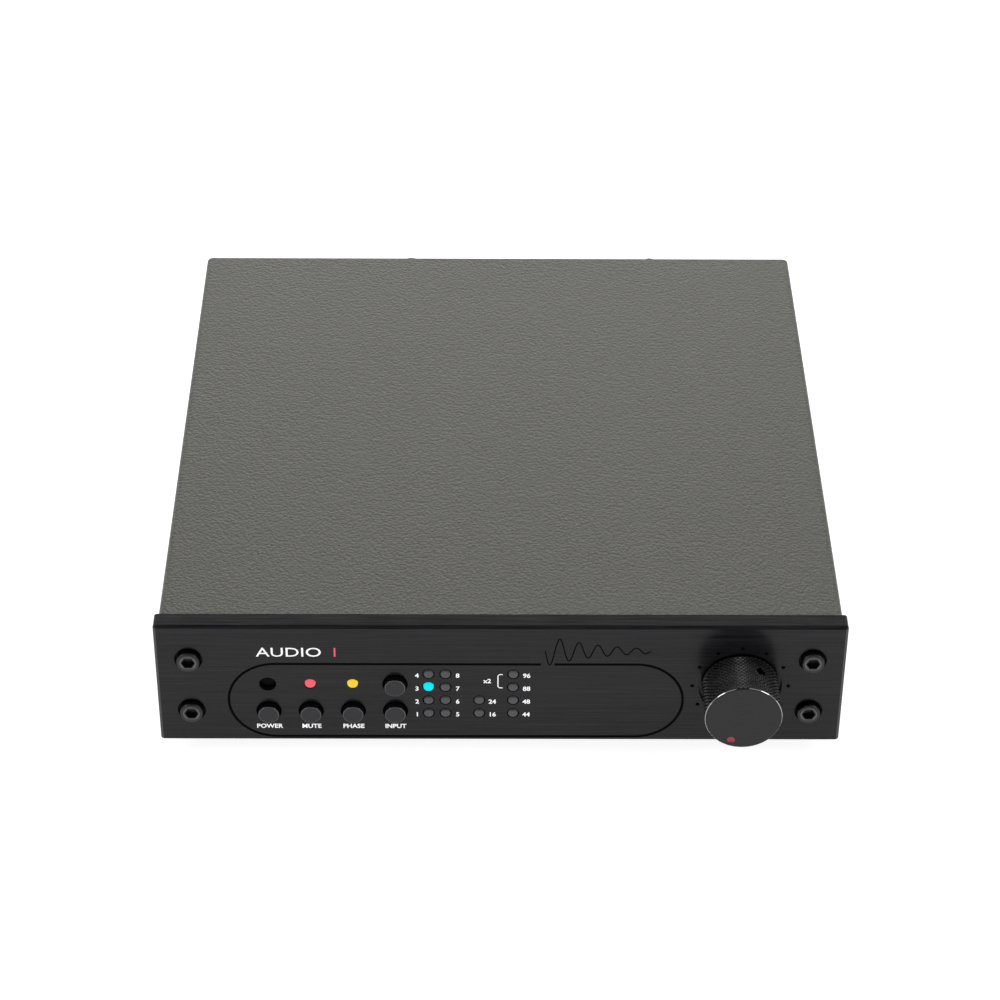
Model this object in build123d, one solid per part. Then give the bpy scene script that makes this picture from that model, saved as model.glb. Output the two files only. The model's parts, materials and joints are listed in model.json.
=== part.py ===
from build123d import *
from math import acos, cos, pi, radians, sin, tan
import os

# Compact, one-unit-high desktop digital-to-analogue converter, built as the pieces it comes apart into.
# Millimetres. +Z is up, the front panel faces -Y, +X is to the right of somebody facing the front panel.
# The origin is the centre of the bounding box, on the surface that the rubber feet stand on.

# ---------------------------------------------------------------- driving dimensions
PANEL_W = 207.0
PANEL_H = 44.8
PANEL_T = 6.0
PANEL_CORNER_R = 1.0
PANEL_CHAMFER = 0.85
FOOT_H = 5.0
PANEL_Z = FOOT_H - 0.5  # the panel hangs a little below the chassis floor

SHEET = 1.5  # steel sheet of the case
COVER_W = 204.5
COVER_L = 199.5
BEND_R = 2.0
FIT_GAP = 0.2  # between nested sheet parts and round clearance holes
THREAD_GAP = 0.02

KNOB_R = 11.62
KNOB_REACH = 15.0  # knob face in front of the panel
JACK_REACH = 9.0  # phono barrels behind the rear panel

TOTAL_DEPTH = KNOB_REACH + PANEL_T + COVER_L + JACK_REACH
FACE_Y = -TOTAL_DEPTH / 2 + KNOB_REACH  # front face of the panel
BACK_Y = FACE_Y + PANEL_T  # back face of the panel, front of the chassis wall
REAR_Y = BACK_Y + COVER_L  # outer face of the rear panel
WALL_Y = BACK_Y + SHEET  # inner face of the chassis front wall
INNER_REAR_Y = REAR_Y - SHEET
CASE_TOP = PANEL_Z + PANEL_H
CEILING_Z = CASE_TOP - SHEET
FLOOR_Z = FOOT_H + SHEET
TRAY_HALF = COVER_W / 2 - SHEET - FIT_GAP

# places on the front panel: x from its middle, z from its bottom edge
CONTROL_PITCH = 12.77
CONTROL_X = [-70.1 + CONTROL_PITCH * i for i in range(4)]
BUTTON_ROW = 12.0
LIGHT_ROW = 22.53
SMALL_LIGHT_PITCH = 5.1
SMALL_LIGHT_X = [-21.7 + SMALL_LIGHT_PITCH * step for step in (0, 1, 3, 5)]
SMALL_LIGHT_ROWS = [11.25 + SMALL_LIGHT_PITCH * i for i in range(4)]
KNOB_X = 72.24
KNOB_ROW = 22.14
SCREW_X = 93.45
SCREW_ROWS = (12.35, 32.1)
GROOVE_R = 14.25
GROOVE_X = (-67.8, 40.87)
GROOVE_ROW = 16.15
GROOVE_W = 0.65
GROOVE_GAP = (12.0, 16.1)  # break in the top run
GROOVE_DEPTH = 0.5
SCALE_R = 14.5
SCALE_STEP = 30
SCALE_END = 150  # clock angle of the last dot, either side of the top
KNOB_Z = PANEL_Z + KNOB_ROW

BUTTON_R = 3.1
BUTTON_HOLE_R = 3.85
BUTTON_REACH = 2.0
BUTTON_TRAVEL = 0.8
LIGHT_R = 1.55
LIGHT_REACH = 0.35
BIG_LIGHT_R = 1.62
BIG_LIGHT_REACH = 0.1
LIGHT_GAP = 0.3  # round each light in its hole
LIGHT_DOME_R = 0.6
WINDOW_R = 2.55
WINDOW_RECESS = 1.5
HEAD_R = 3.45  # socket-head screws of the panel, 4.2 mm thread
HEAD_REACH = 1.8
HEAD_H = 4.2
COUNTERBORE = (4.25, 2.5)
RECESS_R = 12.6
RECESS_DEPTH = 1.6
NUT_HOLE_R = 8.0
DISPLAY_APERTURE = (-78.0, 10.0, PANEL_Z + 5.0, PANEL_Z + 31.5)

BOARD_T = 1.6
DISPLAY_Y = BACK_Y + 9.0  # front of the display board
DISPLAY_X = (-86.0, 18.0)
BOARD_Z = FLOOR_Z + 4.5  # underside of the boards that stand on the chassis floor
BOARD_TOP = BOARD_Z + BOARD_T
MAIN_BOARD = (-47.0, 94.0, BACK_Y + 15.0, REAR_Y - 5.2)  # clear of the screws of the sockets
PSU_BOARD = (-94.5, -50.0, BACK_Y + 25.0, REAR_Y - 30.0)

# volume control: a potentiometer with a motor drive behind it
SHAFT_R = 3.0
RUNNING_GAP = 0.05
POT_W = 26.0
POT_H = 25.0
POT_D = 20.0
POT_BACK = WALL_Y + POT_D
BUSHING_R = 4.5
MODULE = 0.4
PINION_TEETH = 12
WHEEL_TEETH = 48
GEAR_CENTRES = MODULE * (PINION_TEETH + WHEEL_TEETH) / 2
IDLER_X = KNOB_X - GEAR_CENTRES
GEARBOX_D = 9.8
GEARBOX_WALL = 0.8
FIRST_STAGE = (POT_BACK + 1.8, POT_BACK + 4.2)
SECOND_STAGE = (POT_BACK + 5.0, POT_BACK + 7.6)
MOTOR_Y = POT_BACK + GEARBOX_D
MOTOR_R = 10.0
MOTOR_L = 25.0

# rear panel: x of each socket and z of its rows
SOCKET_Z = 26.0
SOCKET_ROWS = (18.5, 33.5)
INLET_X = -82.0
USB_X = -60.0
OPTICAL_X = -46.5
DIGITAL_X = -33.0
ANALOGUE_X = (-19.0, -5.0)
TRIGGER_X = 8.0
AES_X = 29.5
XLR_X = (57.5, 85.0)
PHONO_R = 4.15
PHONO_NECK_R = 3.95
PHONO_NECK = 0.4  # between the rear panel and the part that a plug grips
PHONO_BORE_R = 3.5
XLR_R = 11.3
XLR_BORE_R = 9.6
XLR_FLANGE = (26.0, 31.0, 1.5)
XLR_DEPTH = 18.0
INLET_FLANGE = (27.6, 35.0, 2.5)
INLET_BODY = (26.0, 33.0, 26.0)
INLET_MOUTH = (24.0, 16.0, 17.0)
INLET_MOUTH_Z = 18.5
DRAWER = (21.8, 9.0, 13.0)
DRAWER_Z = 36.5
DRAWER_GAP = 0.3
FUSE_R = 2.5
USB_SHELL = (12.0, 11.4)
USB_MOUTH = (8.45, 7.8)
OPTICAL_HALF = 4.8
OPTICAL_MOUTH_HALF = 2.9
FLAP_HALF = 3.1

FOOT_R = 9.0
FOOT_XY = [(x, y) for x in (-80.0, 80.0) for y in (-72.0, 82.0)]
REAR_SCREW_X = (-30.4, 53.4)
REAR_SCREW_Z = CASE_TOP - 3.8
SIDE_SCREW_Y = (-62.0, 72.0)
SIDE_SCREW_Z = 13.0
M3_HEAD_R = 3.0
M3_HEAD_H = 2.4


# ---------------------------------------------------------------- helpers
def block(x0, x1, y0, y1, z0, z1):
    """Box between two corners."""
    return Pos((x0 + x1) / 2, (y0 + y1) / 2, (z0 + z1) / 2) * Box(x1 - x0, y1 - y0, z1 - z0)


def block_at(x, z, width, height, y0, y1):
    """Box centred on x and z, running from y0 to y1."""
    return block(x - width / 2, x + width / 2, y0, y1, z - height / 2, z + height / 2)


def rod_x(y, z, radius, x0, x1):
    return Pos((x0 + x1) / 2, y, z) * Rot(0, 90, 0) * Cylinder(radius, x1 - x0)


def rod_y(x, z, radius, y0, y1):
    return Pos(x, (y0 + y1) / 2, z) * Rot(90, 0, 0) * Cylinder(radius, y1 - y0)


def rod_z(x, y, radius, z0, z1):
    return Pos(x, y, (z0 + z1) / 2) * Cylinder(radius, z1 - z0)


def facing_front(y, x=0.0, z=0.0):
    """Plane that faces the front, its own x along +X and its own y along +Z."""
    return Plane(origin=(x, y, z), x_dir=(1, 0, 0), z_dir=(0, -1, 0))


def push_back(sketch, plane, depth):
    """The sketch on a facing_front plane, pushed depth towards the rear."""
    return extrude(plane * sketch, amount=-depth)


def front_edges(shape):
    return shape.faces().sort_by(Axis.Y)[0].edges()


def rear_edges(shape):
    return shape.faces().sort_by(Axis.Y)[-1].edges()


def top_edges(shape):
    return shape.faces().sort_by(Axis.Z)[-1].edges()


def hex_prism(across_flats, height):
    """Hexagonal prism standing on the origin."""
    return extrude(RegularPolygon(across_flats / 2, 6, major_radius=False), amount=height)


def hex_y(x, z, across_flats, y0, y1):
    return push_back(RegularPolygon(across_flats / 2, 6, major_radius=False), facing_front(y0, x, z), y1 - y0)


def group(pieces):
    return Compound(children=list(pieces))


def screw(length):
    """M3 pan-head screw along Z, its head above the origin and its shank below."""
    head = fillet(top_edges(Pos(0, 0, M3_HEAD_H / 2) * Cylinder(M3_HEAD_R, M3_HEAD_H)), 0.8)
    socket = Pos(0, 0, M3_HEAD_H - 1.3) * hex_prism(2.5, 1.3)
    return head - socket + Pos(0, 0, -length / 2) * Cylinder(1.5, length)


def wire(points, radius, bend):
    """Round wire along the points, bent on arcs."""
    path = FilletPolyline(*points, radius=bend)
    return sweep(Plane(origin=path @ 0, z_dir=path % 0) * Circle(radius), path=path)


def gear(teeth, addendum, y0, y1, x, z, tooth_at):
    """Spur gear about Y at x and z, with the middle of one tooth at the angle tooth_at."""
    thinning = 0.08
    pressure = radians(20)
    pitch_r = MODULE * teeth / 2
    base_r = pitch_r * cos(pressure)
    tip_r = pitch_r + addendum * MODULE
    root_r = pitch_r - 1.3 * MODULE
    inv_pressure = tan(pressure) - pressure

    def half_angle(radius):
        roll = acos(min(1.0, base_r / max(radius, base_r)))
        return pi / (2 * teeth) - thinning / (2 * pitch_r) + inv_pressure - (tan(roll) - roll)

    foot_r = max(base_r, root_r + 0.02)
    flank = [root_r, foot_r, (foot_r + pitch_r) / 2, pitch_r, (pitch_r + tip_r) / 2, tip_r]
    outline = []
    for tooth in range(teeth):
        middle = tooth_at + 2 * pi * tooth / teeth
        for side, radii in ((-1, flank), (1, flank[::-1])):
            for radius in radii:
                angle = middle + side * half_angle(radius)
                outline.append((radius * cos(angle), radius * sin(angle)))
    return push_back(make_face(Polyline(*outline, close=True)), facing_front(y0, x, z), y1 - y0)


# ---------------------------------------------------------------- front panel and its controls
BUTTON_PLACES = {
    "power_button": (CONTROL_X[0], BUTTON_ROW),
    "mute_button": (CONTROL_X[1], BUTTON_ROW),
    "polarity_button": (CONTROL_X[2], BUTTON_ROW),
    "input_up_button": (CONTROL_X[3], LIGHT_ROW),
    "input_down_button": (CONTROL_X[3], BUTTON_ROW),
}
BIG_LIGHT_PLACES = {"mute_light": (CONTROL_X[1], LIGHT_ROW), "polarity_light": (CONTROL_X[2], LIGHT_ROW)}
ACTIVE_LIGHT_PLACE = (SMALL_LIGHT_X[0], SMALL_LIGHT_ROWS[2])
# the third column of lights has only its two lower places filled
SMALL_LIGHT_PLACES = [
    (x, row)
    for column, x in enumerate(SMALL_LIGHT_X)
    for level, row in enumerate(SMALL_LIGHT_ROWS)
    if not (column == 2 and level > 1)
]


def on_scale(clock_angle, radius):
    """Point around the knob's axis, its angle clockwise from the top."""
    return KNOB_X + radius * sin(radians(clock_angle)), KNOB_Z + radius * cos(radians(clock_angle))


def groove():
    """Hairline loop round the controls, with half-round ends and a break in its top run."""
    middle = (GROOVE_X[0] + GROOVE_X[1]) / 2
    length = GROOVE_X[1] - GROOVE_X[0]
    outer = SlotCenterToCenter(length, 2 * GROOVE_R + GROOVE_W)
    inner = SlotCenterToCenter(length, 2 * GROOVE_R - GROOVE_W)
    z = PANEL_Z + GROOVE_ROW
    loop = push_back(outer - inner, facing_front(FACE_Y, middle, z), GROOVE_DEPTH)
    return loop - block(*GROOVE_GAP, FACE_Y, FACE_Y + GROOVE_DEPTH, z, z + GROOVE_R + GROOVE_W)


def front_panel():
    plate = RectangleRounded(PANEL_W, PANEL_H, PANEL_CORNER_R)
    panel = push_back(plate, facing_front(FACE_Y, 0, PANEL_Z + PANEL_H / 2), PANEL_T)
    panel = chamfer(front_edges(panel), PANEL_CHAMFER)
    cuts = [groove()]
    for x, row in BUTTON_PLACES.values():
        cuts.append(rod_y(x, PANEL_Z + row, BUTTON_HOLE_R, FACE_Y, BACK_Y))
    for x, row in SMALL_LIGHT_PLACES:
        cuts.append(rod_y(x, PANEL_Z + row, LIGHT_R + LIGHT_GAP, FACE_Y, BACK_Y))
    for x, row in BIG_LIGHT_PLACES.values():
        cuts.append(rod_y(x, PANEL_Z + row, BIG_LIGHT_R + LIGHT_GAP, FACE_Y, BACK_Y))
    cuts.append(rod_y(CONTROL_X[0], PANEL_Z + LIGHT_ROW, WINDOW_R + 0.05, FACE_Y, BACK_Y))
    cuts.append(rod_y(KNOB_X, KNOB_Z, RECESS_R, FACE_Y, FACE_Y + RECESS_DEPTH))
    cuts.append(rod_y(KNOB_X, KNOB_Z, NUT_HOLE_R, FACE_Y, BACK_Y))
    for side in (-1, 1):
        for row in SCREW_ROWS:
            cuts.append(rod_y(side * SCREW_X, PANEL_Z + row, COUNTERBORE[0], FACE_Y, FACE_Y + COUNTERBORE[1]))
            cuts.append(rod_y(side * SCREW_X, PANEL_Z + row, 2.2, FACE_Y, BACK_Y))
    for clock_angle in range(-SCALE_END, SCALE_END + 1, SCALE_STEP):
        x, z = on_scale(clock_angle, SCALE_R)
        cuts.append(rod_y(x, z, 0.6, FACE_Y, FACE_Y + 0.3))
    return panel - cuts


def panel_screw(x, z):
    """Socket-head screw, its head standing partly out of the panel."""
    head_y = FACE_Y - HEAD_REACH
    seat_y = head_y + HEAD_H
    head = fillet(front_edges(rod_y(x, z, HEAD_R, head_y, seat_y)), 0.5)
    return head - hex_y(x, z, 3.57, head_y, head_y + 2.2) + rod_y(x, z, 2.0, seat_y, seat_y + 10.0)


def panel_nut(x, z):
    """Clinch nut on the back of the chassis wall."""
    return hex_y(x, z, 7.0, WALL_Y, WALL_Y + 3.2) - rod_y(x, z, 2.0 + THREAD_GAP, WALL_Y, WALL_Y + 3.2)


def at_panel_screws(maker):
    return group(maker(side * SCREW_X, PANEL_Z + row) for side in (-1, 1) for row in SCREW_ROWS)


def button(x, row):
    """Push button in one piece: cap, retaining flange, stem and plunger."""
    z = PANEL_Z + row
    cap = fillet(front_edges(rod_y(x, z, BUTTON_R, FACE_Y - BUTTON_REACH, BACK_Y + 0.3)), 0.4)
    flange = rod_y(x, z, BUTTON_HOLE_R + 0.45, BACK_Y + 0.3, BACK_Y + 1.4)
    stem = rod_y(x, z, 2.2, BACK_Y + 1.4, BACK_Y + 4.5)
    plunger = rod_y(x, z, 1.75, BACK_Y + 4.5, BACK_Y + 7.2)
    return cap + flange + stem + plunger


def switch_body(x, row):
    """Tactile switch on the display board, with a well for the button's plunger."""
    z = PANEL_Z + row
    body = block_at(x, z, 6.0, 6.0, DISPLAY_Y - 3.5, DISPLAY_Y)
    well = rod_y(x, z, 2.1, DISPLAY_Y - 3.5, DISPLAY_Y - 0.6)
    return body - well


def light(x, row, radius, reach):
    """Domed light with the flange that stops it behind the panel."""
    z = PANEL_Z + row
    lens = fillet(front_edges(rod_y(x, z, radius, FACE_Y - reach, BACK_Y + 0.1)), LIGHT_DOME_R)
    return lens + rod_y(x, z, radius + 2 * LIGHT_GAP, BACK_Y + 0.1, BACK_Y + 1.1)


def light_leads():
    places = SMALL_LIGHT_PLACES + list(BIG_LIGHT_PLACES.values())
    return group(
        rod_y(x + side * 1.27, PANEL_Z + row, 0.25, BACK_Y + 1.1, DISPLAY_Y)
        for x, row in places
        for side in (-0.5, 0.5)
    )


def ir_window():
    z = PANEL_Z + LIGHT_ROW
    window = rod_y(CONTROL_X[0], z, WINDOW_R, FACE_Y + WINDOW_RECESS, BACK_Y)
    return window + rod_y(CONTROL_X[0], z, WINDOW_R + 0.7, BACK_Y, BACK_Y + 1.0)


def display_board():
    board = block(*DISPLAY_X, DISPLAY_Y, DISPLAY_Y + BOARD_T, PANEL_Z + 4.0, PANEL_Z + 38.0)
    holes = [rod_y(x, z, 1.7, DISPLAY_Y, DISPLAY_Y + BOARD_T) for x, z in display_posts()]
    return board - holes


def display_posts():
    return [(x, PANEL_Z + row) for x in (DISPLAY_X[0] + 4, DISPLAY_X[1] - 4) for row in (8.0, 34.0)]


def display_spacer(x, z):
    """Threaded spacer between the chassis wall and the display board."""
    return hex_y(x, z, 5.0, WALL_Y, DISPLAY_Y) - rod_y(x, z, 1.5 + THREAD_GAP, WALL_Y + 1.0, DISPLAY_Y)


# ---------------------------------------------------------------- volume control
def volume_knob():
    back = FACE_Y + 0.5
    body = chamfer(front_edges(rod_y(KNOB_X, KNOB_Z, KNOB_R, FACE_Y - KNOB_REACH, back)), 0.6)
    body = body - rod_y(KNOB_X, KNOB_Z, 7.6, FACE_Y - 2.6, back)
    body = body - rod_y(KNOB_X, KNOB_Z, SHAFT_R + THREAD_GAP, FACE_Y - 13.0, back)
    return body - set_screw_space(SHAFT_R, KNOB_R + 1.0, 1.5 + THREAD_GAP)


def set_screw_space(inner, outer, radius):
    """Cylinder along the knob's radial screw hole, from one radius of the knob to another."""
    middle = (inner + outer) / 2
    clock_angle = 28
    x, z = on_scale(clock_angle, middle)
    return Pos(x, FACE_Y - 5.3, z) * Rot(0, clock_angle, 0) * Cylinder(radius, outer - inner)


def knob_set_screw():
    return set_screw_space(SHAFT_R + 0.05, 8.6, 1.5) - set_screw_space(7.0, 8.7, 0.8)


def pot_shaft():
    shaft = rod_y(KNOB_X, KNOB_Z, SHAFT_R, FACE_Y - 12.9, FIRST_STAGE[1] + 0.2)
    return chamfer(front_edges(shaft), 0.5)


def pot_wiper():
    """Disc on the shaft inside the potentiometer, with one contact arm."""
    y0 = WALL_Y + 7.0
    disc = rod_y(KNOB_X, KNOB_Z, 7.0, y0, y0 + 2.0)
    arm = block(KNOB_X - 1.2, KNOB_X + 1.2, y0, y0 + 2.0, KNOB_Z - 9.6, KNOB_Z - 5.0)
    return disc + arm - rod_y(KNOB_X, KNOB_Z, SHAFT_R, y0, y0 + 2.0)


def pot_housing():
    """Potentiometer case with its threaded bushing, hollow round the wiper."""
    case = block_at(KNOB_X, KNOB_Z, POT_W, POT_H, WALL_Y, POT_BACK)
    case = chamfer(case.edges().filter_by(Axis.Y), 1.5)
    bushing = rod_y(KNOB_X, KNOB_Z, BUSHING_R, BACK_Y - 4.4, WALL_Y)
    track = rod_y(KNOB_X, KNOB_Z, 10.5, WALL_Y + 2.0, POT_BACK - 2.0)
    bore = rod_y(KNOB_X, KNOB_Z, SHAFT_R + RUNNING_GAP, BACK_Y - 4.4, POT_BACK)
    return case + bushing - track - bore


def pot_nut():
    """Hexagon nut on its washer, hidden in the panel behind the knob."""
    washer = rod_y(KNOB_X, KNOB_Z, 7.2, BACK_Y - 0.5, BACK_Y)
    nut = hex_y(KNOB_X, KNOB_Z, 12.0, BACK_Y - 3.0, BACK_Y - 0.5)
    return washer + nut - rod_y(KNOB_X, KNOB_Z, BUSHING_R + THREAD_GAP, BACK_Y - 3.0, BACK_Y)


def shaft_gear():
    wheel = gear(WHEEL_TEETH, 0.75, *FIRST_STAGE, KNOB_X, KNOB_Z, pi)
    return wheel - rod_y(KNOB_X, KNOB_Z, SHAFT_R, *FIRST_STAGE)


def idler_gear():
    """Small gear that the shaft's wheel turns and, behind it, the wheel that turns the motor's pinion."""
    small = gear(PINION_TEETH, 1.0, FIRST_STAGE[0] - 0.2, SECOND_STAGE[0], IDLER_X, KNOB_Z, pi / PINION_TEETH)
    large = gear(WHEEL_TEETH, 0.75, *SECOND_STAGE, IDLER_X, KNOB_Z, 0.0)
    return small + large - rod_y(IDLER_X, KNOB_Z, 1.0 + RUNNING_GAP, FIRST_STAGE[0] - 0.2, SECOND_STAGE[1])


def motor_pinion():
    pinion = gear(PINION_TEETH, 1.0, *SECOND_STAGE, KNOB_X, KNOB_Z, pi + pi / PINION_TEETH)
    return pinion + rod_y(KNOB_X, KNOB_Z, 1.0, SECOND_STAGE[0], MOTOR_Y + 5.0)


def gearbox_housing():
    """Open-sided box round the gears, with the pin that the idler turns on."""
    x0, x1 = IDLER_X - 12.2, KNOB_X + 12.4
    z0, z1 = KNOB_Z - 12.4, KNOB_Z + 12.4
    box = block(x0, x1, POT_BACK, MOTOR_Y, z0, z1)
    room = block(
        x0 + GEARBOX_WALL, x1 - GEARBOX_WALL,
        POT_BACK + GEARBOX_WALL, MOTOR_Y - GEARBOX_WALL,
        z0 + GEARBOX_WALL, z1 - GEARBOX_WALL,
    )
    pin = rod_y(IDLER_X, KNOB_Z, 1.0, POT_BACK, MOTOR_Y)
    shaft_hole = rod_y(KNOB_X, KNOB_Z, SHAFT_R + 0.4, POT_BACK, POT_BACK + GEARBOX_WALL)
    motor_hole = rod_y(KNOB_X, KNOB_Z, 1.4, MOTOR_Y - GEARBOX_WALL, MOTOR_Y)
    return box - room + pin - shaft_hole - motor_hole


def motor_can():
    can = fillet(rear_edges(rod_y(KNOB_X, KNOB_Z, MOTOR_R, MOTOR_Y, MOTOR_Y + MOTOR_L)), 1.0)
    boss = rod_y(KNOB_X, KNOB_Z, 3.0, MOTOR_Y + MOTOR_L, MOTOR_Y + MOTOR_L + 1.5)
    return can + boss - rod_y(KNOB_X, KNOB_Z, 1.0 + RUNNING_GAP, MOTOR_Y, MOTOR_Y + 6.0)


# ---------------------------------------------------------------- case
def chassis_base():
    """Folded tray: floor, front wall and low side flanges."""
    floor = block(-TRAY_HALF, TRAY_HALF, BACK_Y, INNER_REAR_Y, FOOT_H, FLOOR_Z)
    wall = block(-TRAY_HALF, TRAY_HALF, BACK_Y, WALL_Y, FOOT_H, CEILING_Z - FIT_GAP)
    tray = floor + wall
    for side in (-1, 1):
        outer, inner = sorted((side * TRAY_HALF, side * (TRAY_HALF - SHEET)))
        tray = tray + block(outer, inner, BACK_Y, INNER_REAR_Y - FIT_GAP, FOOT_H, FOOT_H + 14.0)
    cuts = [block(*DISPLAY_APERTURE[:2], BACK_Y, WALL_Y, *DISPLAY_APERTURE[2:])]
    cuts.append(rod_y(KNOB_X, KNOB_Z, BUSHING_R + FIT_GAP, BACK_Y, WALL_Y))
    for side in (-1, 1):
        for row in SCREW_ROWS:
            cuts.append(rod_y(side * SCREW_X, PANEL_Z + row, 2.2, BACK_Y, WALL_Y))
        for y in SIDE_SCREW_Y:
            ends = sorted((side * TRAY_HALF, side * (TRAY_HALF - SHEET)))
            cuts.append(rod_x(y, SIDE_SCREW_Z, 1.5 + THREAD_GAP, *ends))
    for x, y in FOOT_XY:
        cuts.append(rod_z(x, y, 1.5 + THREAD_GAP, FOOT_H, FLOOR_Z))
    for column in range(7):
        for side in (-1, 1):
            x = side * 38.0
            y = -30.0 + 12.0 * column
            cuts.append(Pos(x, y, FOOT_H + SHEET / 2) * extrude(SlotOverall(28, 3), amount=SHEET, both=True))
    return tray - cuts


def top_cover():
    """Inverted-U cover, with two tabs folded down behind the rear panel."""
    half = COVER_W / 2
    outer = block(-half, half, BACK_Y, REAR_Y, FOOT_H, CASE_TOP)
    outer = fillet(outer.edges().filter_by(Axis.Y).group_by(Axis.Z)[-1], BEND_R)
    inner = block(-half + SHEET, half - SHEET, BACK_Y, REAR_Y, FOOT_H, CEILING_Z)
    inner = fillet(inner.edges().filter_by(Axis.Y).group_by(Axis.Z)[-1], BEND_R - SHEET)
    cover = outer - inner
    for x in REAR_SCREW_X:
        cover = cover + block(x - 7, x + 7, INNER_REAR_Y - SHEET, INNER_REAR_Y, CEILING_Z - 6.5, CEILING_Z)
        cover = cover - rod_y(x, REAR_SCREW_Z, 1.5 + THREAD_GAP, INNER_REAR_Y - SHEET, INNER_REAR_Y)
    for side in (-1, 1):
        for y in SIDE_SCREW_Y:
            ends = sorted((side * half, side * (half - SHEET)))
            cover = cover - rod_x(y, SIDE_SCREW_Z, 1.7, *ends)
    return cover


def rear_panel():
    """Plate with a hole for every socket and a flange along its foot that stands on the tray."""
    plate = block(-TRAY_HALF, TRAY_HALF, INNER_REAR_Y, REAR_Y, FOOT_H, CEILING_Z - FIT_GAP)
    flange = block(-TRAY_HALF + 4, TRAY_HALF - 4, INNER_REAR_Y - 6, INNER_REAR_Y, FLOOR_Z, FLOOR_Z + SHEET)
    cuts = [block_at(INLET_X, SOCKET_Z, INLET_BODY[0] + 0.2, INLET_BODY[1] + 0.2, INNER_REAR_Y, REAR_Y)]
    cuts.append(block_at(USB_X, SOCKET_ROWS[0], USB_SHELL[0] + 0.4, USB_SHELL[1] + 0.4, INNER_REAR_Y, REAR_Y))
    for row in SOCKET_ROWS:
        side = 2 * OPTICAL_HALF + 0.4
        cuts.append(block_at(OPTICAL_X, row, side, side, INNER_REAR_Y, REAR_Y))
        cuts.append(rod_y(TRIGGER_X, row, 3.2, INNER_REAR_Y, REAR_Y))
    for x, row in phono_places():
        cuts.append(rod_y(x, row, PHONO_R + 0.2, INNER_REAR_Y, REAR_Y))
    for x in (AES_X, *XLR_X):
        cuts.append(rod_y(x, SOCKET_Z, XLR_R + 0.2, INNER_REAR_Y, REAR_Y))
        for sx, sz in xlr_screw_places(x):
            cuts.append(rod_y(sx, sz, 1.7, INNER_REAR_Y, REAR_Y))
    for x in REAR_SCREW_X:
        cuts.append(rod_y(x, REAR_SCREW_Z, 1.7, INNER_REAR_Y, REAR_Y))
    cuts.append(rod_y(USB_X, SOCKET_ROWS[1], 2.2, INNER_REAR_Y, REAR_Y))
    return plate + flange - cuts


def rubber_foot(x, y):
    foot = rod_z(x, y, FOOT_R, 0, FOOT_H)
    foot = fillet(foot.faces().sort_by(Axis.Z)[0].edges(), 1.0)
    return foot - rod_z(x, y, 4.0, 0, 3.0) - rod_z(x, y, 1.7, 3.0, FOOT_H)


def case_screws():
    """Every M3 screw that holds the case: feet, cover sides, cover rear tabs and the XLR sockets."""
    screws = [Pos(x, y, 3.0) * Rot(180, 0, 0) * screw(6.0) for x, y in FOOT_XY]
    for side in (-1, 1):
        for y in SIDE_SCREW_Y:
            screws.append(Pos(side * COVER_W / 2, y, SIDE_SCREW_Z) * Rot(0, side * 90, 0) * screw(6.0))
    screws.extend(Pos(x, REAR_Y, REAR_SCREW_Z) * Rot(-90, 0, 0) * screw(6.0) for x in REAR_SCREW_X)
    for x in (AES_X, *XLR_X):
        for sx, sz in xlr_screw_places(x):
            screws.append(Pos(sx, REAR_Y + XLR_FLANGE[2], sz) * Rot(-90, 0, 0) * screw(6.0))
    return group(screws)


# ---------------------------------------------------------------- rear sockets
def phono_places():
    return [(x, row) for x in (DIGITAL_X, *ANALOGUE_X) for row in SOCKET_ROWS]


def phono_barrel(x, z):
    """Sleeve of a phono socket, on a neck through the rear panel."""
    sleeve = rod_y(x, z, PHONO_R, REAR_Y + PHONO_NECK, REAR_Y + JACK_REACH)
    sleeve = chamfer(rear_edges(sleeve), 0.4)
    sleeve = sleeve + rod_y(x, z, PHONO_NECK_R, INNER_REAR_Y, REAR_Y + PHONO_NECK)
    return sleeve - rod_y(x, z, PHONO_BORE_R, INNER_REAR_Y, REAR_Y + JACK_REACH)


def phono_insert(x, z):
    """Coloured insulator inside the sleeve, with the hole for the plug's pin."""
    insert = rod_y(x, z, PHONO_BORE_R, INNER_REAR_Y, REAR_Y + JACK_REACH - 0.6)
    return insert - rod_y(x, z, 1.6, REAR_Y - 1.0, REAR_Y + JACK_REACH)


def socket_block(x, width, depth):
    """Moulded block behind the rear panel that carries a column of two sockets."""
    return block(x - width / 2, x + width / 2, INNER_REAR_Y - depth, INNER_REAR_Y, BOARD_TOP, 40.5)


def trigger_jack(z):
    """Threaded collar of a 3.5 mm jack."""
    collar = rod_y(TRIGGER_X, z, 3.0, INNER_REAR_Y, REAR_Y + 2.0) + rod_y(TRIGGER_X, z, 4.0, REAR_Y, REAR_Y + 1.6)
    return collar - rod_y(TRIGGER_X, z, 1.75, REAR_Y - 1.0, REAR_Y + 2.0)


def xlr_screw_places(x):
    return [(x - 9.6, SOCKET_Z + 12.1), (x + 9.6, SOCKET_Z - 12.1)]


def xlr_shell(x):
    """Die-cast socket shell: rounded flange on the rear panel and a barrel through it."""
    plane = facing_front(REAR_Y, x, SOCKET_Z)
    shell = push_back(RectangleRounded(XLR_FLANGE[0], XLR_FLANGE[1], 3.0), plane, XLR_FLANGE[2])
    shell = fillet(rear_edges(shell), 0.4)
    shell = shell + rod_y(x, SOCKET_Z, XLR_R, REAR_Y - XLR_DEPTH, REAR_Y)
    for sx, sz in xlr_screw_places(x):
        shell = shell - rod_y(sx, sz, 1.7, REAR_Y - XLR_DEPTH, REAR_Y + XLR_FLANGE[2])
    return shell - rod_y(x, SOCKET_Z, XLR_BORE_R, REAR_Y - XLR_DEPTH, REAR_Y + XLR_FLANGE[2])


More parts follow.
